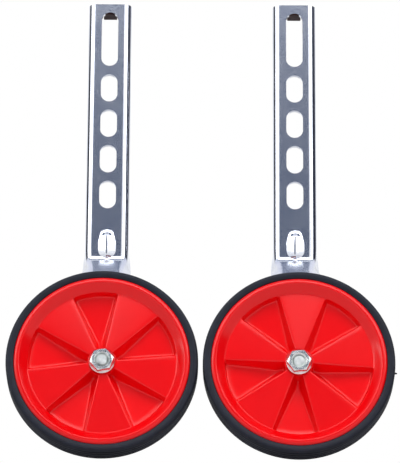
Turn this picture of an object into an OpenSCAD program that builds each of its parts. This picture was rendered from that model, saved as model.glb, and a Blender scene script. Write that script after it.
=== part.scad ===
// Bicycle training wheels, a pair standing side by side with their outer faces to -Y.
// X runs across the pair, Z runs up along the arms, and Y runs back from the wheels to the arms.
// The origin lies on the ground, midway between the wheels and midway in depth.

/* [Pair] */
// Clear gap between the two tyres
pair_gap = 2.8; // [0.5:0.1:60]
// Angle of the left wheel's first raised sector, from +X towards +Z
left_turn = -84; // [-180:1:180]
// Angle of the right wheel's first raised sector, from +X towards +Z
right_turn = 87; // [-180:1:180]

/* [Wheel] */
// Width of the rim, front lip to back lip
wheel_w = 17; // [15:0.5:24]
// Outer diameter of the rim's two lips
rim_d = 110; // [100:1:112]
// Width of each lip beside the tyre's seat
lip_w = 3; // [2:0.1:4]
// Depth of the tyre's seat below the lips
seat_depth = 4; // [2:0.1:5]
// Wall under the tyre's seat, at the back
rim_wall = 3.5; // [2:0.1:5]
// Rounding of the front lip's outer corner
bead_r = 1.8; // [0.5:0.1:2.5]
// Width of the level crest on the front lip
crest_w = 0.8; // [0.4:0.1:2]
// Radial width of the conical band between the crest and the fan
band_w = 6; // [4:0.1:8]

/* [Fan web] */
// Number of raised sectors, with as many recessed ones between them
raised_count = 5; // [3:1:7]
// Depth of the raised sectors below the rim's front, at the band's foot
raised_depth = 5.2; // [3:0.1:6]
// How far the raised sectors rise from the band to the boss
raised_rise = 2.2; // [0.5:0.1:3.5]
// Height of the step from raised to recessed sectors, at the band's foot
fan_step = 4.4; // [3:0.1:5]
// How far the recessed sectors fall from the band to the boss
floor_fall = 1; // [0.2:0.1:2]
// Wall of the web
web_t = 2.3; // [1.5:0.1:2.4]
// Draft of the walls between the sectors
fan_draft = 22; // [10:1:24]

/* [Boss and bore] */
// Diameter of the boss that turns on the sleeve
boss_d = 18; // [17:0.5:24]
// How far the boss stands out of the rim's back
boss_back = 4; // [2:0.1:10]
// Axial play of the boss on its sleeve, at each end
end_play = 0.15; // [0.1:0.05:0.5]
// Running clearance between the sleeve and the bore, radial
running_gap = 0.06; // [0.02:0.01:0.1]

/* [Tyre] */
// Height of the tyre over the rim's lips
tyre_t = 5; // [4:0.1:9]
// Radius of the tyre's shoulders, as a share of that height
shoulder_share = 0.4; // [0.3:0.05:0.8]
// How far the tyre's sides stand back from the rim's faces
side_gap = 1; // [0.2:0.1:2]
// Number of fine grooves round the tread
groove_count = 4; // [1:1:4]
// Distance between the grooves
groove_pitch = 3.4; // [1.6:0.1:3.5]
// Width of a groove
groove_w = 0.7; // [0.4:0.1:0.8]
// Depth of a groove
groove_depth = 0.5; // [0.2:0.1:1]
// Gap between the tyre and its seat
seat_fit = 0.05; // [0.02:0.01:0.1]

/* [Arm] */
// Height of the arm's top above the wheel's axis
arm_rise = 280.5; // [276:0.5:330]
// Width of the channel
arm_w = 28.5; // [27:0.5:34]
// Depth of the channel, front to the edges of its sides
arm_d = 11; // [9:0.5:14]
// Sheet thickness
sheet_t = 2.5; // [2:0.1:3]
// Outer radius of the channel's corners
corner_r = 5.3; // [4:0.1:6]

/* [Slots] */
// Width of every slot
slot_w = 11; // [9:0.5:13]
// Distance from the arm's top to the long slot
slot_inset = 6; // [5:0.5:10]
// Length of the long slot
long_slot = 39; // [20:0.5:40]
// Length of a short slot
short_slot = 19.5; // [14:0.5:20]
// Number of short slots
short_count = 4; // [1:1:4]
// Distance between the short slots
slot_pitch = 25.4; // [24:0.1:26]
// Land between the long slot and the first short one
slot_land = 6.3; // [4:0.1:10]
// Reach of the lip at the long slot's head, from the arm's front face
lip_reach = 10; // [5:0.5:11]
// Width of that lip
lip_span = 9; // [5:0.5:10]
// How far the lip's underside hangs below the slot's head
lip_drop = 1; // [0.5:0.1:2]

/* [Joggle] */
// Height of the first bend above the wheel's axis
bend_rise = 97.5; // [95:0.5:102]
// Angle of the sloping stretch
joggle_angle = 45; // [40:1:50]
// How far the foot stands out from the channel
joggle_out = 57; // [50:0.5:60]
// Radius of the first bend, on its front face
first_bend_r = 6; // [4:0.5:10]
// Radius of the second bend, on its front face
second_bend_r = 14; // [12:0.5:16]
// Splay of the channel's sides on the slope
slope_splay = 40; // [35:1:80]
// Half width of the level web where the slope starts
slope_half = 8; // [6.5:0.1:8.5]
// Length of the pressed dart above the first bend
dart_above = 16; // [10:0.5:18]
// Length of the dart below the first bend
dart_below = 4.5; // [3:0.5:8]
// Width of the dart at its top
dart_w_top = 8.5; // [5:0.5:10]
// Width of the dart at the bend
dart_w = 11.5; // [9:0.5:12]
// Height of the dart at the bend
dart_h = 2.6; // [1:0.1:3]

/* [Foot] */
// Half width of the level part of the foot
foot_half = 11; // [10:0.1:12]
// Radius of the foot's round end, which is also half its width
foot_r = 16; // [15:0.1:17]
// Upturn left on the foot's sides
foot_splay = 8; // [4:1:20]

/* [Fasteners] */
// Thread diameter of the axle bolt
bolt_d = 8; // [6:0.5:8]
// Length of the axle bolt under its head
bolt_l = 27.5; // [26:0.5:32]
// Height of the bolt's head
head_h = 5.3; // [4:0.1:7]
// Width across flats of the head and the nut
flats = 13; // [12:0.5:14]
// Height of the flange nut
nut_h = 4.6; // [4.5:0.1:8.5]
// Diameter of the nut's flange
flange_d = 16.4; // [15:0.1:17]
// Thickness of the flange at its rim
flange_t = 1.2; // [0.8:0.1:2]
// Height of the cone from the flange to the hexagon
flange_cone = 1.6; // [0.5:0.1:2]
// Clearance between thread and nut, radial
thread_gap = 0.05; // [0.02:0.01:0.1]
// Clearance of the foot's and washers' holes round the bolt, radial
hole_gap = 0.2; // [0.1:0.05:0.4]
// Outer diameter of the sleeve
sleeve_d = 12; // [11:0.5:13]
// Outer diameter of the inner washer
washer_d = 18; // [16:0.5:20]
// Thickness of the inner washer
washer_t = 1.6; // [1:0.1:2.5]
// Outer diameter of the split washer
split_d = 14.4; // [13:0.1:15]
// Thickness of the split washer
split_t = 2; // [1.5:0.1:2.5]
// Width of the cut through the split washer
split_cut = 1.2; // [0.6:0.1:2]
// Slant of that cut
split_slant = 20; // [0:1:30]
// Corner chamfer of the bolt, the nut and the sleeve
chamfer = 0.8; // [0.3:0.1:1]

/* [Hidden] */
round_fn = 96;
small_fn = 48;
// Overrun of every cut past the surface that it opens
overrun = 1;

// Wheel, in its own frame: the axis is Z, the rim's back is at 0 and its front at wheel_w
rim_r = rim_d / 2;
wheel_r = rim_r + tyre_t;
shoulder_r = tyre_t * shoulder_share;
seat_r = rim_r - seat_depth;
back_r = seat_r - rim_wall;
boss_r = boss_d / 2;
crest_in = rim_r - bead_r - crest_w;
fan_r = crest_in - band_w;
sleeve_r = sleeve_d / 2;
bore_r = sleeve_r + running_gap;
raised_rim_z = wheel_w - raised_depth;
raised_boss_z = raised_rim_z + raised_rise;
floor_rim_z = raised_rim_z - fan_step;
floor_boss_z = floor_rim_z - floor_fall;
fan_slope = atan(raised_rise / (fan_r - boss_r));
fan_apex_z = raised_boss_z + boss_r * tan(fan_slope);
sector = 180 / raised_count;
wall_run = fan_step * tan(fan_draft);
boss_front = raised_boss_z - flange_t / 2;
boss_l = boss_back + boss_front;
// Draft of the rim's inside at the back, as a radial run
back_run = rim_wall / 4;

// Stack along the bolt, measured outwards from the foot's front face
sleeve_l = boss_l + 2 * end_play;
rim_back_at = washer_t + end_play + boss_back;
nut_at = washer_t + sleeve_l;
head_at = -sheet_t - split_t;
face_reach = joggle_out + max(rim_back_at + wheel_w, nut_at + nut_h);

// Places in the pair's frame
arm_y = (face_reach - arm_d) / 2;
foot_y = arm_y - joggle_out;
axle_z = wheel_r;
half_span = wheel_r + pair_gap / 2;

// Arm, as heights over the wheel's axis and lengths s along the sheet from the first bend's start
web_half = arm_w / 2 - corner_r;
side_l = arm_d - corner_r;
foot_side = (foot_r - foot_half - corner_r * sin(foot_splay)) / cos(foot_splay);
bend_start = bend_rise + first_bend_r * tan(joggle_angle / 2);
first_arc = first_bend_r * joggle_angle * PI / 180;
second_arc = second_bend_r * joggle_angle * PI / 180;
slope_l = (joggle_out - (first_bend_r + second_bend_r) * (1 - cos(joggle_angle))) / sin(joggle_angle);
slope_end = first_arc + slope_l;
foot_start = slope_end + second_arc;
joggle_drop = (first_bend_r + second_bend_r) * sin(joggle_angle) + slope_l * cos(joggle_angle);
foot_middle = foot_start + bend_start - joggle_drop;
arm_start = bend_start - arm_rise;
dart_start = -dart_above;
dart_peak = first_arc / 2;
dart_end = first_arc / 2 + dart_below;
long_slot_z = arm_rise - slot_inset - long_slot / 2;
first_short_z = arm_rise - slot_inset - long_slot - slot_land - short_slot / 2;
corner_steps = 5;
// Places of the web's points inside the dart, as shares of its half width
dart_shares = [1, 0.72, 0.4, 0.15, 0];
// Where the slope's splay is reached, as a share of the slope
splay_share = 0.22;
dart_rings = 14;
slope_rings = 12;
bend_rings = 6;
end_rings = 8;
// Turn of the foot's round end, short of its tip, which is cut off straight
end_turn = 78;
// Widest the dart's points may lie apart, as a share of the level web
dart_limit_share = 0.8;

function blend(s, from, to) = let (u = min(1, max(0, (s - from) / (to - from)))) u * u * (3 - 2 * u);
function mix(a, b, u) = a + (b - a) * u;

// How far the sheet's front face lies out, its height and its direction, at the length s
function path(s) =
    s <= 0 ? [0, bend_start - s, 0] :
    s <= first_arc ?
        let (a = s / first_arc * joggle_angle)
        [first_bend_r * (1 - cos(a)), bend_start - first_bend_r * sin(a), a] :
    s <= slope_end ?
        let (l = s - first_arc, p = path(first_arc))
        [p[0] + l * sin(joggle_angle), p[1] - l * cos(joggle_angle), joggle_angle] :
    s <= foot_start ?
        let (a = joggle_angle * (1 - (s - slope_end) / second_arc), p = path(slope_end))
        [p[0] + second_bend_r * (cos(a) - cos(joggle_angle)),
         p[1] - second_bend_r * (sin(joggle_angle) - sin(a)), a] :
    let (p = path(foot_start)) [p[0], p[1] - (s - foot_start), 0];

function splay(s) = mix(
    mix(90, slope_splay, blend(s, dart_start / 2, slope_end * splay_share)),
    foot_splay, blend(s, slope_end * splay_share, slope_end));
function level_half(s) = mix(
    mix(web_half, slope_half, blend(s, dart_start / 2, slope_end * splay_share)),
    foot_half, blend(s, slope_end * splay_share, slope_end));
function side_length(s) = mix(side_l, foot_side, blend(s, slope_end * splay_share, slope_end));
function end_share(s) =
    let (u = max(0, s - foot_middle) / foot_r, corner = corner_r * sin(foot_splay))
    (foot_r * sqrt(1 - u * u) - corner) / (foot_r - corner);
function dart_half(s) = min(
    mix(dart_w_top, dart_w, blend(s, dart_start, dart_peak)) / 2,
    level_half(s) * end_share(s) * dart_limit_share);
function dart_height(s) =
    s <= dart_start || s >= dart_end ? 0 :
    s < dart_peak ? dart_h * sin(90 * (s - dart_start) / (dart_peak - dart_start)) :
    dart_h * cos(90 * (s - dart_peak) / (dart_end - dart_peak));
function dart_bump(share) = (1 + cos(180 * share)) / 2;

// One half of the sheet's section at s, from the middle to the edge: [across, behind the front face]
function half_section(s, offset) =
    let (r = corner_r - offset, a = splay(s), e = end_share(s), b = level_half(s) * e, l = side_length(s) * e)
    concat(
        [for (k = [len(dart_shares) - 1:-1:0])
            [dart_half(s) * dart_shares[k], offset - dart_height(s) * dart_bump(dart_shares[k])]],
        [for (k = [0:corner_steps]) let (c = a * k / corner_steps)
            [b + r * sin(c), corner_r - r * cos(c)]],
        [[b + r * sin(a) + l * cos(a), corner_r - r * cos(a) + l * sin(a)]]);

// The whole section, once round
function section(s) =
    let (front = half_section(s, 0), back = half_section(s, sheet_t), n = len(front))
    concat(
        [for (k = [n - 1:-1:1]) [-front[k][0], front[k][1]]],
        front,
        [for (k = [n - 1:-1:1]) back[k]],
        [for (k = [0:n - 1]) [-back[k][0], back[k][1]]]);

function placed(s, p) =
    let (w = path(s))
    [p[0], arm_y - w[0] + p[1] * cos(w[2]), axle_z + w[1] - p[1] * sin(w[2])];

arm_stations = concat(
    [arm_start],
    [for (k = [0:dart_rings]) mix(dart_start, dart_end, k / dart_rings)],
    [for (k = [1:slope_rings]) mix(dart_end, slope_end, k / slope_rings)],
    [for (k = [1:bend_rings]) mix(slope_end, foot_start, k / bend_rings)],
    [for (k = [0:end_rings]) foot_middle + foot_r * sin(end_turn * k / end_rings)]);

module arm_sheet() {
    ring = len(section(0));
    count = len(arm_stations);
    points = [for (s = arm_stations) for (p = section(s)) placed(s, p)];
    sides = [for (i = [0:count - 2]) for (k = [0:ring - 1])
        let (a = i * ring + k, b = i * ring + (k + 1) % ring)
        each [[a, b, b + ring], [a, b + ring, a + ring]]];
    // Both ends are closed by a strip from the front face's points to the back face's
    top = [for (k = [0:ring / 2 - 2]) [k, ring - 1 - k, ring - 2 - k, k + 1]];
    bottom = [for (q = top) [for (k = [3:-1:0]) q[k] + (count - 1) * ring]];
    polyhedron(points, concat(top, sides, bottom), convexity = 6);
}

// A slot through the sheet, its middle at the given height over the axle
module slot(length, height) {
    run = (length - slot_w) / 2;
    translate([0, arm_y + sheet_t + overrun, axle_z + height])
        rotate([90, 0, 0]) {
            for (end = [-1, 1])
                translate([0, end * run, 0])
                    cylinder(d = slot_w, h = sheet_t + 2 * overrun, $fn = small_fn);
            translate([-slot_w / 2, -run, 0])
                cube([slot_w, 2 * run, sheet_t + 2 * overrun]);
        }
}

// Carries what is measured outwards along the bolt from the foot's front face
module on_axle(at) {
    translate([0, foot_y - at, axle_z])
        rotate([90, 0, 0])
            children();
}

// The arm: one stamping with its slots, lip, dart, joggle and foot
module arm() {
    difference() {
        arm_sheet();
        slot(long_slot, long_slot_z);
        for (k = [0:short_count - 1])
            slot(short_slot, first_short_z - k * slot_pitch);
        on_axle(-sheet_t - overrun)
            cylinder(r = bolt_d / 2 + hole_gap, h = sheet_t + 2 * overrun, $fn = small_fn);
    }
    translate([-lip_span / 2, arm_y + sheet_t / 2, axle_z + arm_rise - slot_inset - lip_drop])
        cube([lip_span, lip_reach - sheet_t / 2, sheet_t]);
}

module hexagon(height) {
    cylinder(d = flats / cos(30), h = height, $fn = 6);
}

// A cylinder with a chamfer at its far end
module chamfered_rod(d, length) {
    rotate_extrude($fn = small_fn)
        polygon([[0, 0], [d / 2, 0], [d / 2, length - chamfer], [d / 2 - chamfer, length], [0, length]]);
}

// A ring with a chamfer on both outer corners
module bush(inner_r, outer_r, length, cut) {
    rotate_extrude($fn = small_fn)
        polygon([[inner_r, 0], [outer_r - cut, 0], [outer_r, cut], [outer_r, length - cut],
                 [outer_r - cut, length], [inner_r, length]]);
}

// Keeps a hexagon's corners round at its far end
module corner_cone(height) {
    rotate_extrude($fn = small_fn)
        polygon([[0, 0], [flats, 0], [flats, height - (flats / 2 - chamfer / 4) * tan(30)],
                 [flats / 2 - chamfer / 4, height], [0, height]]);
}

module axle_bolt() {
    on_axle(head_at)
        union() {
            chamfered_rod(bolt_d, bolt_l);
            rotate([180, 0, 0])
                intersection() {
                    hexagon(head_h);
                    corner_cone(head_h);
                }
        }
}

module spring_washer() {
    on_axle(head_at)
        difference() {
            bush(bolt_d / 2 + hole_gap, split_d / 2, split_t, split_t / 10);
            translate([split_d / 2, 0, split_t / 2])
                rotate([split_slant, 0, 0])
                    cube([split_d, split_cut, 3 * split_t], center = true);
        }
}

module inner_washer() {
    on_axle(0)
        bush(bolt_d / 2 + hole_gap, washer_d / 2, washer_t, washer_t / 10);
}

module sleeve() {
    on_axle(washer_t)
        bush(bolt_d / 2 + hole_gap, sleeve_r, sleeve_l, running_gap * 2);
}

module flange_nut() {
    on_axle(nut_at)
        difference() {
            union() {
                intersection() {
                    hexagon(nut_h);
                    corner_cone(nut_h);
                }
                rotate_extrude($fn = small_fn)
                    polygon([[0, 0], [flange_d / 2, 0], [flange_d / 2, flange_t],
                             [flats / 2, flange_t + flange_cone], [0, flange_t + flange_cone]]);
            }
            translate([0, 0, -overrun])
                cylinder(r = bolt_d / 2 + thread_gap, h = nut_h + 2 * overrun, $fn = small_fn);
            translate([0, 0, nut_h - chamfer])
                cylinder(r1 = bolt_d / 2 + thread_gap, r2 = bolt_d / 2 + thread_gap + 2 * chamfer,
                         h = 2 * chamfer, $fn = small_fn);
        }
}

// The half space on one side of a wall between sectors, tilted by the draft; inset moves it sideways
module wall_side(angle, towards, tilt, inset) {
    rotate([0, 0, angle])
        translate([0, 0, fan_apex_z])
            rotate([0, fan_slope, 0])
                rotate([tilt, 0, 0])
                    translate([-rim_r, towards > 0 ? inset : -inset - 2 * rim_r, -rim_r])
                        cube([3 * rim_r, 2 * rim_r, 2 * rim_r]);
}

// The front pocket over one recessed sector
module front_pocket(middle) {
    intersection() {
        wall_side(middle - sector / 2, 1, fan_draft, 0);
        wall_side(middle + sector / 2, -1, -fan_draft, 0);
        rotate_extrude($fn = round_fn)
            polygon([[boss_r, floor_boss_z], [fan_r - wall_run / 2, floor_rim_z],
                     [fan_r, raised_rim_z], [fan_r, wheel_w + overrun], [boss_r, wheel_w + overrun]]);
    }
}

// The back pocket under one raised sector
module back_pocket(middle) {
    intersection() {
        wall_side(middle - sector / 2, 1, -fan_draft, web_t);
        wall_side(middle + sector / 2, -1, fan_draft, web_t);
        rotate_extrude($fn = round_fn)
            polygon([[boss_r, -overrun], [back_r, -overrun],
                     [back_r - back_run, raised_rim_z - web_t], [boss_r, raised_boss_z - web_t]]);
    }
}

// The moulding before its pockets: rim, conical band, web and boss in one turned outline
module hub_blank() {
    rotate_extrude($fn = round_fn)
        difference() {
            union() {
                polygon([[0, -boss_back], [boss_r, -boss_back], [boss_r, floor_boss_z - web_t],
                         [back_r - back_run, floor_rim_z - web_t], [back_r, 0], [rim_r - lip_w / 4, 0],
                         [rim_r, lip_w / 4], [rim_r, wheel_w - bead_r], [rim_r - bead_r, wheel_w - bead_r],
                         [rim_r - bead_r, wheel_w], [crest_in, wheel_w], [fan_r, raised_rim_z],
                         [boss_r, raised_boss_z], [boss_r - flange_t / 2, boss_front], [0, boss_front]]);
                translate([rim_r - bead_r, wheel_w - bead_r])
                    circle(r = bead_r, $fn = small_fn);
            }
            translate([seat_r, lip_w])
                square([seat_depth + overrun, wheel_w - 2 * lip_w]);
            translate([0, -boss_back - overrun])
                square([bore_r, boss_l + 2 * overrun]);
        }
}

module wheel_hub(turn) {
    on_axle(rim_back_at)
        rotate([0, 0, turn])
            difference() {
                hub_blank();
                for (k = [0:raised_count - 1]) {
                    front_pocket(sector * (2 * k + 1));
                    back_pocket(sector * 2 * k);
                }
            }
}

module tyre_section() {
    low = side_gap;
    high = wheel_w - side_gap;
    foot_low = lip_w + seat_fit;
    foot_high = wheel_w - lip_w - seat_fit;
    base_r = rim_r + seat_fit;
    square_r = wheel_r - shoulder_r;
    difference() {
        union() {
            translate([seat_r + seat_fit, foot_low])
                square([seat_depth + overrun, foot_high - foot_low]);
            translate([base_r, low])
                square([square_r - base_r, high - low]);
            translate([base_r, low + shoulder_r])
                square([wheel_r - base_r, high - low - 2 * shoulder_r]);
            for (z = [low + shoulder_r, high - shoulder_r])
                translate([square_r, z])
                    circle(r = shoulder_r, $fn = small_fn);
        }
        translate([0, -overrun])
            square([seat_r + seat_fit, wheel_w + 2 * overrun]);
        for (z = [-overrun, foot_high])
            translate([0, z])
                square([base_r, foot_low + overrun]);
        for (k = [0:groove_count - 1])
            translate([wheel_r - groove_depth,
                       (wheel_w - groove_w) / 2 + (k - (groove_count - 1) / 2) * groove_pitch])
                square([groove_depth + overrun, groove_w]);
    }
}

module tyre() {
    on_axle(rim_back_at)
        rotate_extrude($fn = round_fn)
            tyre_section();
}

module left() {
    translate([-half_span, 0, 0])
        children();
}

module right() {
    translate([half_span, 0, 0])
        children();
}

module left_arm() { color("lightsteelblue") left() arm(); }
module left_axle_bolt() { color("silver") left() axle_bolt(); }
module left_spring_washer() { color("silver") left() spring_washer(); }
module left_inner_washer() { color("silver") left() inner_washer(); }
module left_sleeve() { color("silver") left() sleeve(); }
module left_wheel_hub() { color("red") left() wheel_hub(left_turn); }
module left_tyre() { color("darkslategray") left() tyre(); }
module left_flange_nut() { color("gainsboro") left() flange_nut(); }
module right_arm() { color("lightsteelblue") right() arm(); }
module right_axle_bolt() { color("silver") right() axle_bolt(); }
module right_spring_washer() { color("silver") right() spring_washer(); }
module right_inner_washer() { color("silver") right() inner_washer(); }
module right_sleeve() { color("silver") right() sleeve(); }
module right_wheel_hub() { color("red") right() wheel_hub(right_turn); }
module right_tyre() { color("darkslategray") right() tyre(); }
module right_flange_nut() { color("gainsboro") right() flange_nut(); }

left_arm();
left_axle_bolt();
left_spring_washer();
left_inner_washer();
left_sleeve();
left_wheel_hub();
left_tyre();
left_flange_nut();
right_arm();
right_axle_bolt();
right_spring_washer();
right_inner_washer();
right_sleeve();
right_wheel_hub();
right_tyre();
right_flange_nut();
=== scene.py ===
"""Bicycle training wheels, a pair: zinc-plated channel arms, red moulded wheels, thin black tyres."""
import math

import bmesh
import bpy
from mathutils import Matrix, Vector


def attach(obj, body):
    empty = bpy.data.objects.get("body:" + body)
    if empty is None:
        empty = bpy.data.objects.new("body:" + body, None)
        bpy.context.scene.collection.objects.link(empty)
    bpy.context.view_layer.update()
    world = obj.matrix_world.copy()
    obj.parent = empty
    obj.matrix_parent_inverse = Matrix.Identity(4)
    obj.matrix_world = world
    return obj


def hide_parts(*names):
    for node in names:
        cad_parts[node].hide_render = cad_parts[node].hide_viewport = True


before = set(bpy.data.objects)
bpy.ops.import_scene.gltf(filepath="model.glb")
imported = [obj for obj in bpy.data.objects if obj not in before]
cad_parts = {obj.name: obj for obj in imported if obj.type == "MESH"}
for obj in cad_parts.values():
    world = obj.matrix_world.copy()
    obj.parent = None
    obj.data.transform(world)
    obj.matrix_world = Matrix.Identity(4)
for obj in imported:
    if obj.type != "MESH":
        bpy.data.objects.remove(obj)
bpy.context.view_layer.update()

# Sizes in millimetres, as in the part's source. X runs across the pair, Z up, -Y out of the wheels
MM = 0.001
HALF_SPAN = 61.4
AXLE_Z = 60.0
ARM_Y = 34.95
JOGGLE_OUT = 57.0
FOOT_Y = ARM_Y - JOGGLE_OUT
RIM_BACK = FOOT_Y - 5.75
NUT_SEAT = FOOT_Y - 19.3
HEAD_SEAT = FOOT_Y + 4.5
SIDES = {"left": -1, "right": 1}


# ---- Colours, nodes and pieces

def linear(code):
    """An sRGB hex colour as the linear values of a colour socket."""
    parts = [int(code[i:i + 2], 16) / 255 for i in (0, 2, 4)]
    return [p / 12.92 if p <= 0.04045 else ((p + 0.055) / 1.055) ** 2.4 for p in parts] + [1.0]


def add(tree, kind, sockets=None, **settings):
    """Adds one node, sets its properties, and fills or links its inputs."""
    node = tree.nodes.new(kind)
    for key, value in settings.items():
        setattr(node, key, value)
    for key, value in (sockets or {}).items():
        if isinstance(value, bpy.types.NodeSocket):
            tree.links.new(value, node.inputs[key])
        else:
            node.inputs[key].default_value = value
    return node


def new_material(name):
    """An empty material with its shader and output."""
    material = bpy.data.materials.new(name)
    material.use_nodes = True
    tree = material.node_tree
    tree.nodes.clear()
    shader = add(tree, "ShaderNodeBsdfPrincipled")
    add(tree, "ShaderNodeOutputMaterial", {"Surface": shader.outputs[0]})
    return material, tree, shader


def stops(ramp_node, entries):
    """Sets a colour ramp's stops from (place, hex colour) pairs."""
    ramp = ramp_node.color_ramp
    while len(ramp.elements) < len(entries):
        ramp.elements.new(0.5)
    for element, (place, code) in zip(ramp.elements, entries):
        element.position = place
        element.color = linear(code)


def make_piece(name, bm, finish, body, nodes, sharp=40.0):
    """Turns a mesh drawn in millimetres into a smooth-shaded piece that rides a body."""
    bmesh.ops.recalc_face_normals(bm, faces=bm.faces)
    bmesh.ops.scale(bm, vec=(MM, MM, MM), verts=bm.verts)
    mesh = bpy.data.meshes.new(name)
    bm.to_mesh(mesh)
    bm.free()
    for face in mesh.polygons:
        face.use_smooth = True
    mesh.set_sharp_from_angle(angle=math.radians(sharp))
    piece = bpy.data.objects.new(name, mesh)
    bpy.context.scene.collection.objects.link(piece)
    mesh.materials.append(finish)
    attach(piece, body)
    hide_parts(*nodes)
    return piece


def turned(profile, steps):
    """Spins a closed outline of (radius, height) points round Z. Returns the mesh and its station layer."""
    bm = bmesh.new()
    station = bm.verts.layers.int.new("station")
    ring = []
    for index, (radius, height) in enumerate(profile):
        vert = bm.verts.new((radius, 0.0, height))
        vert[station] = index
        ring.append(vert)
    edges = [bm.edges.new((a, b)) for a, b in zip(ring, ring[1:] + ring[:1])]
    bmesh.ops.spin(bm, geom=ring + edges, cent=(0, 0, 0), axis=(0, 0, 1), dvec=(0, 0, 0),
                   angle=math.tau, steps=steps, use_merge=True, use_duplicate=False)
    return bm, bm.verts.layers.int["station"]


def onto_axle(bm, side, base_y, turn=0.0):
    """Carries a mesh drawn on Z to a wheel's axle, its Z pointing out of the wheel's front."""
    place = Matrix.Translation((SIDES[side] * HALF_SPAN, base_y, AXLE_Z))
    place = place @ Matrix.Rotation(math.radians(90), 4, "X") @ Matrix.Rotation(math.radians(turn), 4, "Z")
    bmesh.ops.transform(bm, matrix=place, verts=bm.verts)


# ---- Wheel hub: rim, fan web and boss in one moulding

SECTOR = math.radians(36)
BOSS_R, FAN_R = 9.0, 46.4
WEB_T = 2.3
DRAFT = math.radians(22)
EDGE_LEAD, FLOOR_LEAD = 5, 5


def between(inner, outer, radius):
    """A height given at the boss and at the cove, read at a radius."""
    return inner + (outer - inner) * (radius - BOSS_R) / (FAN_R - BOSS_R)


def plateau(radius):
    """Height of the raised sectors over the rim's back."""
    return between(14.0, 11.8, radius)


def recess(radius):
    """Height of the recessed sectors over the rim's back."""
    return between(5.7, 7.4, radius)


def drafted_step(r_edge, r_foot, parts):
    """(across, share of the drop) along the wall of a step of height 1, its edge and foot rounded."""
    run = math.tan(DRAFT)
    lean = math.radians(90) - DRAFT
    points = []
    for k in range(parts + 1):
        a = lean * k / parts
        points.append((r_edge * (math.sin(a) - math.tan(lean / 2)), r_edge * (1 - math.cos(a))))
    for k in range(parts, -1, -1):
        a = lean * k / parts
        points.append((run + r_foot * (math.tan(lean / 2) - math.sin(a)), 1 - r_foot * (1 - math.cos(a))))
    return points


STEP_LINE = drafted_step(0.17, 0.24, 4)
QUARTER = EDGE_LEAD + len(STEP_LINE) + FLOOR_LEAD - 1
BACK_SHIFT = WEB_T * (math.tan(DRAFT) - 1 / math.cos(DRAFT))


def fan_place(radius, index, shift):
    """Angle and share of the drop of one spin step, counted from a raised sector's middle."""
    pair, step = divmod(index, 2 * QUARTER)
    mirrored = step > QUARTER
    if mirrored:
        step = 2 * QUARTER - step

    def at(k):
        reach = max(radius, BOSS_R)
        step = plateau(min(reach, FAN_R)) - recess(min(reach, FAN_R))
        fitted = min(step, 0.29 * reach / STEP_LINE[-1][0])
        return SECTOR / 2 + math.asin((STEP_LINE[k][0] * fitted + shift) / reach)

    last = len(STEP_LINE) - 1
    if step < EDGE_LEAD:
        angle, share = at(0) * step / EDGE_LEAD, 0.0
    elif step <= EDGE_LEAD + last:
        angle, share = at(step - EDGE_LEAD), STEP_LINE[step - EDGE_LEAD][1]
    else:
        u = (step - EDGE_LEAD - last) / FLOOR_LEAD
        angle, share = at(last) + (SECTOR - at(last)) * u, 1.0
    if mirrored:
        angle = 2 * SECTOR - angle
    return 2 * SECTOR * pair + angle, share


def hub_stations():
    """The moulding's outline as (radius, height on a raised sector, height on a recessed one, back)."""
    front = [(52.2 - 1.2 * math.sin(a), 15.8 + 1.2 * math.cos(a)) for a in (math.radians(9 * k) for k in range(6))]
    front += [(r, 12.2 + (r - 46.9) * 1.04) for r in (50.4, 49.4, 48.4, 47.6, 46.9)]
    rows = [(r, z, z, 0) for r, z in front]
    rows += [(46.7, 12.08, 12.02, 0), (46.5, 11.94, 11.72, 0), (46.32, 11.86, 11.25, 0), (46.15, 11.83, 10.6, 0),
             (45.98, 11.83, 9.8, 0), (45.8, 11.83, 8.95, 0), (45.6, plateau(45.6), 8.15, 0),
             (45.4, plateau(45.4), 7.7, 0)]
    rows += [(r, plateau(r), recess(r) + lift, 0) for r, lift in (
        (45.1, 0.1), (44.6, 0), (42, 0), (38, 0), (34, 0), (30, 0), (26, 0), (22, 0), (18, 0), (15, 0),
        (12.5, 0), (10.9, 0.0), (10.2, 0.1), (9.7, 0.45), (9.35, 1.1))]
    rows += [(9.15, plateau(9.1), 8.6, 0), (9.0, 13.98, 13.3, 0), (8.94, 13.94, 13.75, 0), (8.8, 13.75, 13.7, 0)]
    rows += [(r, z, z, 0) for r, z in (
        (8.5, 13.46), (8.3, 13.4), (7.0, 13.4), (6.5, 13.4), (6.2, 13.28), (6.06, 13.0),
        (6.06, 5.0), (6.06, -3.6), (6.2, -3.88), (6.5, -4.0), (8.3, -4.0), (8.7, -3.88), (8.93, -3.6), (9.0, -3.2))]
    rows += [(9.02, 10.4, 3.0, 1), (9.12, 11.0, 3.45, 1)]
    back = [(9.3, -0.35), (9.7, -0.08), (10.4, 0), (12.5, 0), (15, 0), (18, 0), (22, 0), (26, 0), (30, 0),
            (34, 0), (38, 0), (42, 0), (44.6, 0), (45.6, 0), (46.15, -0.12), (46.45, -0.4), (46.6, -0.95)]
    rows += [(r, plateau(r) - WEB_T + lift, recess(r) - WEB_T + lift, 1) for r, lift in back]
    rim = [(47.3, 1.3), (47.45, 0.5), (47.7, 0.15), (48.1, 0.0), (51.0, 0.0), (54.0, 0.0), (54.55, 0.15),
           (54.87, 0.45), (55.0, 0.9), (55.0, 2.75), (54.85, 2.97), (54.6, 3.0), (51.2, 3.0), (51.0, 3.2),
           (51.0, 13.8), (51.2, 14.0), (54.6, 14.0), (54.85, 14.03), (55.0, 14.25), (55.0, 15.0)]
    rim += [(52.2 + 2.8 * math.cos(a), 15.0 + 2.0 * math.sin(a)) for a in map(math.radians, (16, 30, 43, 55, 67, 79))]
    return rows + [(r, z, z, 0) for r, z in rim]


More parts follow.
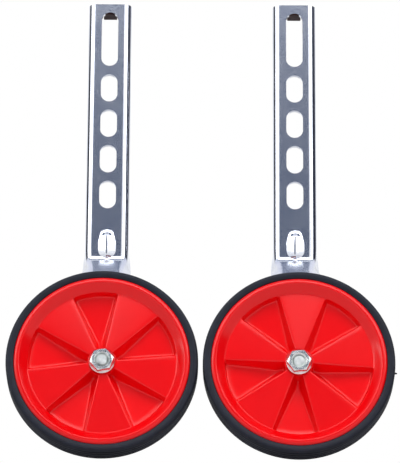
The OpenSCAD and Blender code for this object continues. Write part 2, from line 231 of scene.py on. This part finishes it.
def wheel_hub(side, turn, finish):
    """One moulded wheel centre: a turned outline whose web is then stepped into ten sectors."""
    rows = hub_stations()
    steps = 10 * QUARTER
    bm, station = turned([(row[0], row[1]) for row in rows], steps)
    for vert in bm.verts:
        radius, raised, recessed, back = rows[vert[station]]
        index = round((math.atan2(vert.co.y, vert.co.x) % math.tau) / math.tau * steps) % steps
        angle, share = fan_place(radius, index, BACK_SHIFT if back else 0.0)
        vert.co = (radius * math.cos(angle), radius * math.sin(angle), raised + (recessed - raised) * share)
    onto_axle(bm, side, RIM_BACK, turn)
    return make_piece(f"{side}_fan_hub", bm, finish, f"{side}_wheel", [f"{side}_wheel_hub"], 60)


# ---- Tyre

GROOVES = [3.4, 6.8, 10.2, 13.6]


def tread(z):
    """Radius of the tyre's outside at a height over the rim's back, grooves left out."""
    into = max(0.0, 3.0 - z, z - 14.0)
    return 58 + math.sqrt(max(0.0, 2.0 ** 2 - into ** 2))


def tyre_outline():
    """The tyre's section from its seat out to the tread, with rounded ribs between the grooves."""
    places = {round(z, 3): 0.0 for z in (3 - 2 * math.cos(math.radians(10 * k)) for k in range(9))}
    places.update({round(17 - z, 3): 0.0 for z in places})
    for z in GROOVES:
        for near in [place for place in places if abs(place - z) < 1.75 and 3 < place < 14]:
            del places[near]
        for off, depth in ((1.7, 0.0), (1.3, 0.06), (0.9, 0.2), (0.6, 0.42), (0.4, 0.8), (0.2, 0.92), (0.0, 0.95)):
            places[round(z - off, 3)] = places[round(z + off, 3)] = depth
    outer = [(tread(z) - places[z], z) for z in sorted(places)]
    outer = [(55.05, 1.15), (55.2, 1.0)] + outer + [(55.2, 16.0), (55.05, 15.85), (55.05, 14.1), (54.9, 13.95)]
    return outer + [(51.2, 13.95), (51.05, 13.8), (51.05, 3.2), (51.2, 3.05), (54.9, 3.05), (55.05, 2.9)]


def tyre(side, nibs, finish):
    """One tyre, with the small nibs of moulding flash that stand on its tread."""
    bm, _ = turned(tyre_outline(), 180)
    for angle, height, length in nibs:
        cone = bmesh.ops.create_cone(bm, cap_ends=True, segments=10, radius1=0.9, radius2=0.35, depth=length + 0.6)
        out = Matrix.Rotation(math.radians(angle), 4, "Z") @ Matrix.Translation((59.7 + length / 2, 0, height))
        bmesh.ops.transform(bm, matrix=out @ Matrix.Rotation(math.radians(90), 4, "Y"), verts=cone["verts"])
    onto_axle(bm, side, RIM_BACK)
    return make_piece(f"{side}_ribbed_tyre", bm, finish, f"{side}_wheel", [f"{side}_tyre"], 75)


# ---- Flange nut and axle bolt

FLATS = 13.0
NUT_H = 4.6
FLANGE_R = 8.2
CHAMFER = 0.577  # fall of a corner's chamfer for each millimetre outwards, 30 degrees


def hexagon_reach(angle):
    """How far a hexagon's outline lies from its middle at an angle, with a corner at 0."""
    inside = (angle + math.radians(30)) % math.radians(60) - math.radians(30)
    return FLATS / 2 / math.cos(math.radians(30) - abs(inside))


def flange_nut(side, turn, finish):
    """One flange nut: a turned outline whose middle rings are drawn out to a hexagon."""
    crown = FLATS / 2 - 0.2
    outline = [(4.05, 0.0), (7.9, 0.0), (8.13, 0.12), (8.2, 0.4), (8.2, 0.85), (8.1, 1.12), (7.9, 1.3),
               (7.5, 1.6), (7.5, 1.7), (7.5, 4.0), (crown, NUT_H), (4.9, NUT_H), (4.2, 3.9), (4.05, 3.6)]
    wall_foot, wall_low, wall_top = 7, 8, 9
    bm, station = turned(outline, 96)
    for vert in bm.verts:
        row = vert[station]
        if row in (wall_foot, wall_low, wall_top):
            angle = math.atan2(vert.co.y, vert.co.x)
            reach = hexagon_reach(angle)
            radius = reach + (0.12 if row == wall_foot else 0)
            low = 1.2 + (FLANGE_R - radius) * 0.94
            height = low if row == wall_foot else low + 0.12 if row == wall_low else NUT_H - (reach - crown) * CHAMFER
            vert.co = (radius * math.cos(angle), radius * math.sin(angle), height)
    onto_axle(bm, side, NUT_SEAT, turn)
    return make_piece(f"{side}_hex_nut", bm, finish, "brackets", [f"{side}_flange_nut"], 28)


def axle_bolt(side, tip, finish):
    """One hexagon bolt with its rolled thread and chamfered end."""
    pitch, depth, start = 1.25, 0.61, 17.5
    heights = [start + 0.1 * k for k in range(round((tip - start) * 10) - 1)]
    outline = [(0.0, tip), (1.6, tip + 0.02), (3.2, tip)] + [(4.0, z) for z in reversed(heights)]
    outline += [(4.0, 17.1), (4.0, 0.4), (4.2, 0.12), (4.5, 0.0), (6.9, 0.0), (7.5, -0.3), (7.5, -4.4),
                (6.3, -5.3), (5.2, -5.3), (5.0, -5.15), (0.0, -5.15)]
    bm, station = turned(outline, 48)
    bmesh.ops.remove_doubles(bm, verts=bm.verts, dist=0.0005)
    for vert in bm.verts:
        radius, height = outline[vert[station]]
        angle = math.atan2(vert.co.y, vert.co.x)
        if radius == 4.0 and height >= start:
            phase = (height / pitch - angle / math.tau) % 1.0
            radius -= depth * abs(2 * phase - 1)
            radius = min(radius, 3.2 + (tip - height) * 1.0)
            vert.co = (radius * math.cos(angle), radius * math.sin(angle), height)
        elif radius > 6.0:
            reach = hexagon_reach(angle)
            if height in (-0.3, -4.4):
                height = -0.1 if height == -0.3 else -5.3 + (reach - 6.3) * CHAMFER
                vert.co = (reach * math.cos(angle), reach * math.sin(angle), height)
            elif height == 0.0:
                vert.co = ((reach - 0.3) * math.cos(angle), (reach - 0.3) * math.sin(angle), 0.0)
    onto_axle(bm, side, HEAD_SEAT)
    return make_piece(f"{side}_hex_bolt", bm, finish, "brackets", [f"{side}_axle_bolt"], 32)


# ---- Arm: one stamping, followed along its sheet from the first bend's start

SHEET = 2.5
CORNER = 5.3
ARM_RISE, BEND_RISE = 280.5, 97.5
JOGGLE = math.radians(45)
R1, R2 = 6.0, 14.0
ARC1, ARC2 = R1 * JOGGLE, R2 * JOGGLE
BEND_START = BEND_RISE + R1 * math.tan(JOGGLE / 2)
SLOPE_L = (JOGGLE_OUT - (R1 + R2) * (1 - math.cos(JOGGLE))) / math.sin(JOGGLE)
SLOPE_END = ARC1 + SLOPE_L
FOOT_START = SLOPE_END + ARC2
FOOT_MIDDLE = FOOT_START + BEND_START - (R1 + R2) * math.sin(JOGGLE) - SLOPE_L * math.cos(JOGGLE)
ARM_START = BEND_START - ARM_RISE
# The sides' angle, the level web's half width and the sides' length: over the bend, on the slope, at the foot
UPPER_ANGLE, SLOPE_ANGLE, FOOT_ANGLE = 90, 40, 8
UPPER_HALF, SLOPE_HALF, FOOT_HALF = 8.95, 8.0, 11.0
SIDE_L = 5.7
FOOT_R = 16.0
# The pressed dart, in lengths along the sheet: it starts over the bend and ends within it
DART_START, DART_END = -17.0, 1.4
DART_LEAD, DART_WIDENS = 3.0, 9.0
DART_NARROWS, DART_FALLS = -4.5, -2.5
DART_H = 2.3
DART_TOP_W, DART_W = 8.5, 11.5
# Slots, bolt hole and the lip that stands back from the long slot's head
SLOT_W, LONG_SLOT, SHORT_SLOT, SLOT_PITCH = 11, 39, 19.5, 25.4
LONG_MIDDLE, SHORT_MIDDLE = 315.0, 279.45
SLOT_INSET, LIP_DROP = 6, 1
BOLT_HOLE_R = 4.2
CUT_DEPTH = 12
EDGE_BREAK, LIP_BREAK = 0.45, 0.6


def ease(value, low, high):
    """Smooth rise from 0 to 1 between two values."""
    u = min(1.0, max(0.0, (value - low) / (high - low)))
    return u * u * (3 - 2 * u)


def mix(a, b, u):
    return a + (b - a) * u


def sheet_path(s):
    """How far out the sheet's front lies, its height over the axle and its slope at a length along it."""
    if s <= 0:
        return 0.0, BEND_START - s, 0.0
    if s <= ARC1:
        a = s / R1
        return R1 * (1 - math.cos(a)), BEND_START - R1 * math.sin(a), a
    if s <= SLOPE_END:
        out, up, _ = sheet_path(ARC1)
        return out + (s - ARC1) * math.sin(JOGGLE), up - (s - ARC1) * math.cos(JOGGLE), JOGGLE
    if s <= FOOT_START:
        a = JOGGLE - (s - SLOPE_END) / R2
        out, up, _ = sheet_path(SLOPE_END)
        return out + R2 * (math.cos(a) - math.cos(JOGGLE)), up - R2 * (math.sin(JOGGLE) - math.sin(a)), a
    out, up, _ = sheet_path(FOOT_START)
    return out, up - (s - FOOT_START), 0.0


def sheet_section(s):
    """Side angle, half width of the level web, side length and end taper at a length along the sheet."""
    first = ease(s, DART_START / 2, SLOPE_END * 0.22)
    second = ease(s, SLOPE_END * 0.22, SLOPE_END)
    splay = math.radians(mix(mix(UPPER_ANGLE, SLOPE_ANGLE, first), FOOT_ANGLE, second))
    half = mix(mix(UPPER_HALF, SLOPE_HALF, first), FOOT_HALF, second)
    edge = CORNER * math.sin(math.radians(FOOT_ANGLE))
    length = mix(SIDE_L, (FOOT_R - FOOT_HALF - edge) / math.cos(math.radians(FOOT_ANGLE)), second)
    u = min(1.0, max(0.0, s - FOOT_MIDDLE) / FOOT_R)
    taper = (FOOT_R * math.sqrt(1 - u * u) - edge) / (FOOT_R - edge)
    return splay, half * taper, length * taper


def dart_close(s, start):
    """Rounds the dart's lower end: 1 along its length, falling to 0 on an ellipse."""
    u = min(1.0, max(0.0, (s - start) / (DART_END - start)))
    return math.sqrt(1 - u * u)


def dart_rise(s):
    """Height of the pressed dart's ridge."""
    if s <= DART_START or s >= DART_END:
        return 0.0
    return DART_H * min(1.0, (s - DART_START) / DART_LEAD) * dart_close(s, DART_FALLS)


def dart_roof(u):
    """The dart's roof-shaped section: a narrow rounded ridge and soft feet."""
    ridge, foot = 0.16, 0.07
    if u < ridge:
        return 1 - ridge / 2 - u * u / (2 * ridge)
    if u < 1 - foot:
        return 1 - u
    if u < 1 + foot:
        return (1 + foot - u) ** 2 / (4 * foot)
    return 0.0


ROOF_SHARES = [0, 0.08, 0.16, 0.24, 0.4, 0.6, 0.8, 0.93, 1.0, 1.07]
CORNER_PARTS = 10
HALF_POINTS = len(ROOF_SHARES) + CORNER_PARTS + 2


def sheet_point(s, index):
    """A point of the sheet's front face: index counts out from the middle, negative to the left."""
    hand, k = (-1 if index < 0 else 1), abs(index)
    splay, half, length = sheet_section(s)
    dart = mix(DART_TOP_W, DART_W, ease(s, DART_START, DART_START + DART_WIDENS)) / 2
    dart *= max(0.12, dart_close(s, DART_NARROWS))
    if k < len(ROOF_SHARES):
        across, behind = dart * ROOF_SHARES[k], -dart_rise(s) * dart_roof(ROOF_SHARES[k])
    elif k <= len(ROOF_SHARES) + CORNER_PARTS:
        c = splay * (k - len(ROOF_SHARES)) / CORNER_PARTS
        across, behind = half + CORNER * math.sin(c), CORNER * (1 - math.cos(c))
    else:
        across = half + CORNER * math.sin(splay) + length * math.cos(splay)
        behind = CORNER * (1 - math.cos(splay)) + length * math.sin(splay)
    out, up, a = sheet_path(s)
    return Vector((hand * across, ARM_Y - out + behind * math.cos(a), AXLE_Z + up - behind * math.sin(a)))


def rows_of_sheet():
    """Lengths along the sheet at which its rows lie, with two close rows where the dart's ridge turns level."""
    rows = [ARM_START, DART_START - 2.0]
    rows += sorted([DART_START + DART_LEAD - 0.03, DART_START + DART_LEAD + 0.03]
                   + [mix(DART_START, DART_END, math.sin(math.radians(90) * k / 36)) for k in range(37)])
    rows += [mix(DART_END, ARC1, k / 6) for k in range(1, 7)]
    rows += [mix(ARC1, SLOPE_END, k / 16) for k in range(1, 17)]
    rows += [mix(SLOPE_END, FOOT_START, k / 10) for k in range(1, 11)]
    rows += [FOOT_MIDDLE + FOOT_R * math.sin(math.radians(84) * k / 14) for k in range(15)]
    return rows


def long_hole(bm, width, length, middle):
    """A cutter for one slot: a round bar drawn out upwards and downwards."""
    made = bmesh.ops.create_cone(bm, cap_ends=True, segments=48, radius1=width / 2, radius2=width / 2,
                                 depth=CUT_DEPTH)
    bmesh.ops.rotate(bm, verts=made["verts"], cent=(0, 0, 0), matrix=Matrix.Rotation(math.radians(90), 3, "X"))
    run = (length - width) / 2
    for vert in made["verts"]:
        vert.co.z += run if vert.co.z > 1e-4 else -run if vert.co.z < -1e-4 else 0
        vert.co += Vector((0, ARM_Y, middle))


def cut_by(bm, cutter_bm):
    """Cuts one mesh out of another with Blender's exact boolean and returns the result."""
    objects = []
    for mesh_bm in (bm, cutter_bm):
        mesh = bpy.data.meshes.new("cut")
        mesh_bm.to_mesh(mesh)
        mesh_bm.free()
        thing = bpy.data.objects.new("cut", mesh)
        bpy.context.scene.collection.objects.link(thing)
        objects.append(thing)
    body, cutter = objects
    boolean = body.modifiers.new("slots", "BOOLEAN")
    boolean.object = cutter
    boolean.solver = "EXACT"
    depsgraph = bpy.context.evaluated_depsgraph_get()
    result = bmesh.new()
    result.from_mesh(body.evaluated_get(depsgraph).to_mesh())
    for thing in objects:
        mesh = thing.data
        bpy.data.objects.remove(thing)
        bpy.data.meshes.remove(mesh)
    return result


def arm(side, finish, lip_finish):
    """One arm: a sheet drawn along its path, thickened, slotted, and broken at its edges."""
    rows = rows_of_sheet()
    columns = 2 * HALF_POINTS - 2
    bm = bmesh.new()
    bmesh.ops.create_grid(bm, x_segments=columns, y_segments=len(rows) - 1, size=0.5)
    for vert in bm.verts:
        index = round((vert.co.x + 0.5) * columns) - (HALF_POINTS - 1)
        row = len(rows) - 1 - round((vert.co.y + 0.5) * (len(rows) - 1))
        vert.co = sheet_point(rows[row], index)
    bmesh.ops.recalc_face_normals(bm, faces=bm.faces)
    if sum(face.normal.y for face in bm.faces) > 0:
        bmesh.ops.reverse_faces(bm, faces=bm.faces)
    bmesh.ops.solidify(bm, geom=bm.faces[:], thickness=SHEET)
    cutter = bmesh.new()
    long_hole(cutter, SLOT_W, LONG_SLOT, LONG_MIDDLE)
    for k in range(4):
        long_hole(cutter, SLOT_W, SHORT_SLOT, SHORT_MIDDLE - SLOT_PITCH * k)
    hole = bmesh.ops.create_cone(cutter, cap_ends=True, segments=48, radius1=BOLT_HOLE_R, radius2=BOLT_HOLE_R,
                                 depth=CUT_DEPTH)
    bmesh.ops.rotate(cutter, verts=hole["verts"], cent=(0, 0, 0), matrix=Matrix.Rotation(math.radians(90), 3, "X"))
    bmesh.ops.translate(cutter, verts=hole["verts"], vec=(0, FOOT_Y, AXLE_Z))
    bmesh.ops.recalc_face_normals(cutter, faces=cutter.faces)
    bm = cut_by(bm, cutter)
    edges = [edge for edge in bm.edges if edge.is_manifold and edge.calc_face_angle() > math.radians(50)]
    bmesh.ops.bevel(bm, geom=edges, offset=EDGE_BREAK, offset_type="OFFSET", segments=3, profile=0.5,
                    affect="EDGES", material=-1, clamp_overlap=True)
    tab = bmesh.ops.create_cube(bm, size=1.0)
    lip_z = AXLE_Z + ARM_RISE - SLOT_INSET - LIP_DROP + SHEET / 2
    bmesh.ops.scale(bm, vec=(9.0, 9.6, SHEET), verts=tab["verts"])
    bmesh.ops.translate(bm, verts=tab["verts"], vec=(0, ARM_Y + 5.4, lip_z))
    bmesh.ops.bevel(bm, geom=list({e for v in tab["verts"] for e in v.link_edges}), offset=LIP_BREAK, segments=3,
                    offset_type="OFFSET", profile=0.5, affect="EDGES", material=-1)
    for face in bm.faces:  # the lip's faces, found by their place, take the dark steel that paints the shade under the long slot's head
        middle = face.calc_center_median()
        face.material_index = int(abs(middle.x) < 4.6 and middle.y > ARM_Y + 0.4 and 333.2 < middle.z < 336.2)
    bmesh.ops.translate(bm, verts=bm.verts, vec=(SIDES[side] * HALF_SPAN, 0, 0))
    piece = make_piece(f"{side}_channel_arm", bm, finish, "brackets", [f"{side}_arm"], 35)
    piece.data.materials.append(lip_finish)
    flats = piece.modifiers.new("flats", "WEIGHTED_NORMAL")
    flats.keep_sharp = True
    return piece


# ---- Finishes
# A noise of scale S on Object coordinates has patches of about 1000 / S millimetres

def blue_zinc_plate():
    """Steel sheet, zinc plated with a clear blue passivation: a soft metal gloss, faintly mottled."""
    material, tree, shader = new_material("blue_zinc_plate")
    place = add(tree, "ShaderNodeTexCoord").outputs["Object"]
    # The passivation clouds in patches of 14 mm. The plating's grain, really some 0.05 mm, is too fine to show and
    # is drawn at 1.1 mm, where it breaks the mirrored edges up a little.
    cloud = add(tree, "ShaderNodeTexNoise", {"Vector": place, "Scale": 70.0, "Detail": 4.0})
    tint = add(tree, "ShaderNodeValToRGB", {"Fac": cloud.outputs["Fac"]})
    stops(tint, [(0.3, "D8DDEA"), (0.7, "ECEFF6")])
    grain = add(tree, "ShaderNodeTexNoise", {"Vector": place, "Scale": 900.0, "Detail": 3.0})
    gloss = add(tree, "ShaderNodeMapRange", {"Value": grain.outputs["Fac"], "To Min": 0.1, "To Max": 0.16})
    bump = add(tree, "ShaderNodeBump", {"Height": grain.outputs["Fac"], "Strength": 0.05, "Distance": 0.0002})
    # Below the first bend the press has stretched the sheet, and its plating is duller there.
    height = add(tree, "ShaderNodeSeparateXYZ", {"Vector": place})
    stretched = add(tree, "ShaderNodeMapRange", {"Value": height.outputs["Z"], "From Min": 0.161, "From Max": 0.157,
                                                 "To Min": 0.0, "To Max": 0.13})
    rough = add(tree, "ShaderNodeMath", {0: gloss.outputs["Result"], 1: stretched.outputs["Result"]}, operation="ADD")
    tree.links.new(tint.outputs["Color"], shader.inputs["Base Color"])
    tree.links.new(rough.outputs["Value"], shader.inputs["Roughness"])
    tree.links.new(bump.outputs["Normal"], shader.inputs["Normal"])
    shader.inputs["Metallic"].default_value = 1.0
    return material


def bright_zinc(name, low, high, rough):
    """Barrel-plated fasteners: bright zinc with small rubs and dents from the barrel."""
    material, tree, shader = new_material(name)
    place = add(tree, "ShaderNodeTexCoord").outputs["Object"]
    # Rubs and dents from the barrel, 4 mm apart
    rubs = add(tree, "ShaderNodeTexNoise", {"Vector": place, "Scale": 260.0, "Detail": 3.0})
    tint = add(tree, "ShaderNodeValToRGB", {"Fac": rubs.outputs["Fac"]})
    stops(tint, [(0.3, low), (0.65, high)])
    gloss = add(tree, "ShaderNodeMapRange", {"Value": rubs.outputs["Fac"], "To Min": rough, "To Max": rough + 0.12})
    bump = add(tree, "ShaderNodeBump", {"Height": rubs.outputs["Fac"], "Strength": 0.3, "Distance": 0.0006})
    tree.links.new(tint.outputs["Color"], shader.inputs["Base Color"])
    tree.links.new(gloss.outputs["Result"], shader.inputs["Roughness"])
    tree.links.new(bump.outputs["Normal"], shader.inputs["Normal"])
    shader.inputs["Metallic"].default_value = 1.0
    return material


def red_polypropylene():
    """Injection-moulded polypropylene: a strong red with a satin skin that hazes where it faces the light."""
    material, tree, shader = new_material("red_polypropylene")
    place = add(tree, "ShaderNodeTexCoord").outputs["Object"]
    # The melt's flow shades the red in patches of 29 mm. The mould's fine texture, really under 0.1 mm, is drawn at
    # 0.4 mm so that it softens the shine.
    flow = add(tree, "ShaderNodeTexNoise", {"Vector": place, "Scale": 35.0, "Detail": 3.0})
    tint = add(tree, "ShaderNodeValToRGB", {"Fac": flow.outputs["Fac"]})
    stops(tint, [(0.3, "E60209"), (0.7, "EC030B")])
    skin = add(tree, "ShaderNodeTexNoise", {"Vector": place, "Scale": 2500.0, "Detail": 2.0})
    gloss = add(tree, "ShaderNodeMapRange", {"Value": flow.outputs["Fac"], "To Min": 0.17, "To Max": 0.22})
    bump = add(tree, "ShaderNodeBump", {"Height": skin.outputs["Fac"], "Strength": 0.08, "Distance": 0.0001})
    tree.links.new(tint.outputs["Color"], shader.inputs["Base Color"])
    tree.links.new(gloss.outputs["Result"], shader.inputs["Roughness"])
    tree.links.new(bump.outputs["Normal"], shader.inputs["Normal"])
    shader.inputs["IOR"].default_value = 1.49
    shader.inputs["Specular IOR Level"].default_value = 0.42
    return material


def black_tyre_vinyl():
    """Moulded black vinyl tyre: blue-black, nearly matt, with a fine dusty skin."""
    material, tree, shader = new_material("black_tyre_vinyl")
    place = add(tree, "ShaderNodeTexCoord").outputs["Object"]
    # Dust lies in patches of 6 mm. The vinyl's pores, too fine to show, are drawn at 0.6 mm and take the shine off.
    dust = add(tree, "ShaderNodeTexNoise", {"Vector": place, "Scale": 180.0, "Detail": 5.0})
    tint = add(tree, "ShaderNodeValToRGB", {"Fac": dust.outputs["Fac"]})
    stops(tint, [(0.35, "12151F"), (0.7, "1A1E2A")])
    skin = add(tree, "ShaderNodeTexNoise", {"Vector": place, "Scale": 1600.0, "Detail": 2.0})
    bump = add(tree, "ShaderNodeBump", {"Height": skin.outputs["Fac"], "Strength": 0.15, "Distance": 0.0002})
    tree.links.new(tint.outputs["Color"], shader.inputs["Base Color"])
    tree.links.new(bump.outputs["Normal"], shader.inputs["Normal"])
    shader.inputs["Roughness"].default_value = 0.5
    shader.inputs["Specular IOR Level"].default_value = 0.25
    return material


# ---- The object

zinc = blue_zinc_plate()
nut_zinc = bright_zinc("barrel_plated_nut", "D2D8D7", "F4F6F5", 0.16)
steel = bright_zinc("plated_steel", "B4BAB9", "D8DCDB", 0.3)
# Painted shade: the lip's dark, brownish steel stands in for the shadow under the long slot's head
lip_shade_steel = bright_zinc("painted_shade_lip", "261B1B", "4A3836", 0.45)
red = red_polypropylene()
vinyl = black_tyre_vinyl()

TURNS = {"left": -84, "right": 87}
NUT_TURNS = {"left": 11, "right": 6}
BOLT_TIPS = {"left": 28.2, "right": 27.5}
NIBS = {"left": [(113, 10.0, 1.2), (128, 10.0, 1.2)], "right": [(-5, 9.0, 1.4)]}

for side in SIDES:
    arm(side, zinc, lip_shade_steel)
    wheel_hub(side, TURNS[side], red)
    tyre(side, NIBS[side], vinyl)
    flange_nut(side, NUT_TURNS[side], nut_zinc)
    axle_bolt(side, BOLT_TIPS[side], steel)
    for node in ("inner_washer", "sleeve", "spring_washer"):
        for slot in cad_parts[f"{side}_{node}"].material_slots:
            slot.material = steel


# ---- Floor, light and camera

def pale_floor():
    """Opal light table: matt and pale from above, glowing softly from below, open to a view from below."""
    material, tree, shader = new_material("pale_floor")
    shader.inputs["Base Color"].default_value = linear("F2F2F2")
    shader.inputs["Roughness"].default_value = 0.8
    glow = add(tree, "ShaderNodeBsdfTranslucent", {"Color": linear("F2F2F2")})
    opal = add(tree, "ShaderNodeMixShader", {0: 0.5, 1: shader.outputs[0], 2: glow.outputs[0]})
    clear = add(tree, "ShaderNodeBsdfTransparent")
    under = add(tree, "ShaderNodeNewGeometry").outputs["Backfacing"]
    both = add(tree, "ShaderNodeMixShader", {0: under, 1: opal.outputs[0], 2: clear.outputs[0]})
    output = next(node for node in tree.nodes if node.type == "OUTPUT_MATERIAL")
    tree.links.new(both.outputs[0], output.inputs["Surface"])
    return material


floor_bm = bmesh.new()
bmesh.ops.create_grid(floor_bm, x_segments=1, y_segments=1, size=3.0)
floor_mesh = bpy.data.meshes.new("floor")
floor_bm.to_mesh(floor_mesh)
floor_bm.free()
floor = bpy.data.objects.new("floor", floor_mesh)
bpy.context.scene.collection.objects.link(floor)
floor_mesh.materials.append(pale_floor())


def lamp(name, place, target, size, power):
    """A square white softbox at a place, turned to a target; the metal mirrors the studio, not the lamp."""
    light = bpy.data.lights.new(name, "AREA")
    light.shape = "SQUARE"
    light.size = size
    light.energy = power
    thing = bpy.data.objects.new(name, light)
    bpy.context.scene.collection.objects.link(thing)
    aim = Vector(target) - Vector(place)
    thing.visible_glossy = False
    thing.matrix_world = Matrix.Translation(place) @ aim.to_track_quat("-Z", "Y").to_matrix().to_4x4()


lamp("key", (0.25, -2.4, 3.1), (0, 0, 0.1), 1.5, 103)
lamp("fill", (-0.6, -3.8, 0.6), (0, 0, 0.1), 1.8, 24)

world = bpy.data.worlds.new("studio")
bpy.context.scene.world = world
world.use_nodes = True
sky = world.node_tree
sky.nodes.clear()
way = add(sky, "ShaderNodeSeparateXYZ", {0: add(sky, "ShaderNodeTexCoord").outputs["Generated"]})
frontward = add(sky, "ShaderNodeMath", {0: way.outputs["Y"], 1: -1.0}, operation="MULTIPLY")
around = add(sky, "ShaderNodeMath", {0: way.outputs["X"], 1: frontward.outputs[0]}, operation="ARCTAN2")
turn_share = add(sky, "ShaderNodeMapRange", {"Value": around.outputs[0], "From Min": -math.pi, "From Max": math.pi})


def azimuth(degrees):
    """Place of a direction on the ramp round the studio: 0 is the front, positive to the right."""
    return 0.5 + degrees / 360


# The studio's walls: white sheets on both sides of a grey-blue front, dark gaps, and the white backdrop
walls = add(sky, "ShaderNodeValToRGB", {"Fac": turn_share.outputs["Result"]})
stops(walls, [(azimuth(-146), "F0F0FA"), (azimuth(-132), "3A3C4A"), (azimuth(-92), "24262F"),
              (azimuth(-82), "FFFFFF"), (azimuth(-34), "FFFFFF"), (azimuth(-24), "576074"),
              (azimuth(8), "576074"), (azimuth(14), "FFFFFF"), (azimuth(56), "FFFFFF"),
              (azimuth(66), "24262F"), (azimuth(124), "3A3C4A"), (azimuth(144), "F0F0FA")])
# Overhead, from the front horizon over the top: a white sheet, a grey-blue gap, and the backdrop
arc = add(sky, "ShaderNodeMath", {0: way.outputs["Z"], 1: frontward.outputs[0]}, operation="ARCTAN2")
arc_share = add(sky, "ShaderNodeMapRange", {"Value": arc.outputs[0], "From Min": 0.0, "From Max": math.pi})
roof = add(sky, "ShaderNodeValToRGB", {"Fac": arc_share.outputs["Result"]})
stops(roof, [(26 / 180, "576074"), (30 / 180, "FFFFFF"), (60 / 180, "FFFFFF"), (63 / 180, "32486C"),
             (76 / 180, "32486C"), (80 / 180, "E4E8F2"), (124 / 180, "F0F0FA")])
ceiling = add(sky, "ShaderNodeMapRange", {"Value": way.outputs["Z"], "From Min": 0.43, "From Max": 0.48})
dome = add(sky, "ShaderNodeMix", {0: ceiling.outputs["Result"], 6: walls.outputs["Color"],
                                  7: roof.outputs["Color"]}, data_type="RGBA")
path = add(sky, "ShaderNodeLightPath")
mirrored = add(sky, "ShaderNodeMath", {0: path.outputs["Is Glossy Ray"], 1: path.outputs["Is Transmission Ray"]},
               operation="ADD")
# Metal shows the white backdrop where it mirrors the side that the camera looks at
behind = add(sky, "ShaderNodeMapRange", {"Value": way.outputs["Y"], "From Min": 0.5, "From Max": 0.62})
backdrop = add(sky, "ShaderNodeMath", {0: mirrored.outputs[0], 1: behind.outputs["Result"]}, operation="MULTIPLY")
seen = add(sky, "ShaderNodeMath", {0: path.outputs["Is Camera Ray"], 1: backdrop.outputs[0]}, operation="MAXIMUM")
# The overhead white sheet glows stronger in mirrored rays: it hazes the raised sectors of the red webs
box_low = add(sky, "ShaderNodeMapRange", {"Value": arc.outputs[0], "From Min": math.radians(25.5),
                                          "From Max": math.radians(29.5)})
box_top = add(sky, "ShaderNodeMapRange", {"Value": arc.outputs[0], "From Min": math.radians(59),
                                          "From Max": math.radians(54)})
in_sheet = add(sky, "ShaderNodeMath", {0: box_low.outputs[0], 1: box_top.outputs[0]}, operation="MULTIPLY")
sheet_glow = add(sky, "ShaderNodeMapRange", {"Value": in_sheet.outputs[0], "To Min": 1.0, "To Max": 3.8})
# Plain light is even and dim from above and stronger from below, as over a light table
from_below = add(sky, "ShaderNodeMapRange", {"Value": way.outputs["Z"], "From Min": 0.0, "From Max": -0.15,
                                             "To Min": 0.42, "To Max": 1.6})
strength = add(sky, "ShaderNodeMapRange", {"Value": path.outputs["Is Glossy Ray"], "To Min": from_below.outputs[0],
                                           "To Max": sheet_glow.outputs[0]})
lit = add(sky, "ShaderNodeBackground", {"Color": dome.outputs[2], "Strength": strength.outputs["Result"]})
white = add(sky, "ShaderNodeBackground", {"Color": (1, 1, 1, 1), "Strength": 1.0})
sky_or_white = add(sky, "ShaderNodeMixShader", {0: seen.outputs[0], 1: lit.outputs[0], 2: white.outputs[0]})
add(sky, "ShaderNodeOutputWorld", {"Surface": sky_or_white.outputs[0]})

lens = bpy.data.cameras.new("camera")
lens.sensor_fit = "HORIZONTAL"
SENSOR, FOCAL_PX, FRAME_PX = 36.0, 3786.7, 400.0
lens.sensor_width = SENSOR
lens.lens = FOCAL_PX * SENSOR / FRAME_PX
lens.clip_end = 20.0
camera = bpy.data.objects.new("camera", lens)
bpy.context.scene.collection.objects.link(camera)
# The camera stands low in front of the pair and looks up at it, as fitted to the photograph
pitch, yaw, roll = 0.3765, 0.0006, -0.0055
ahead = Vector((math.sin(yaw) * math.cos(pitch), math.cos(yaw) * math.cos(pitch), math.sin(pitch)))
sideways = Vector((math.cos(yaw), -math.sin(yaw), 0))
upward = sideways.cross(ahead)
to_right = sideways * math.cos(roll) - upward * math.sin(roll)
to_top = sideways * math.sin(roll) + upward * math.cos(roll)
facing = Matrix((to_right, to_top, -ahead)).transposed().to_4x4()
camera.matrix_world = Matrix.Translation(Vector((-2.07, -2263.425, -731.17)) * MM) @ facing
bpy.context.scene.camera = camera
bpy.context.scene.view_settings.view_transform = "Standard"
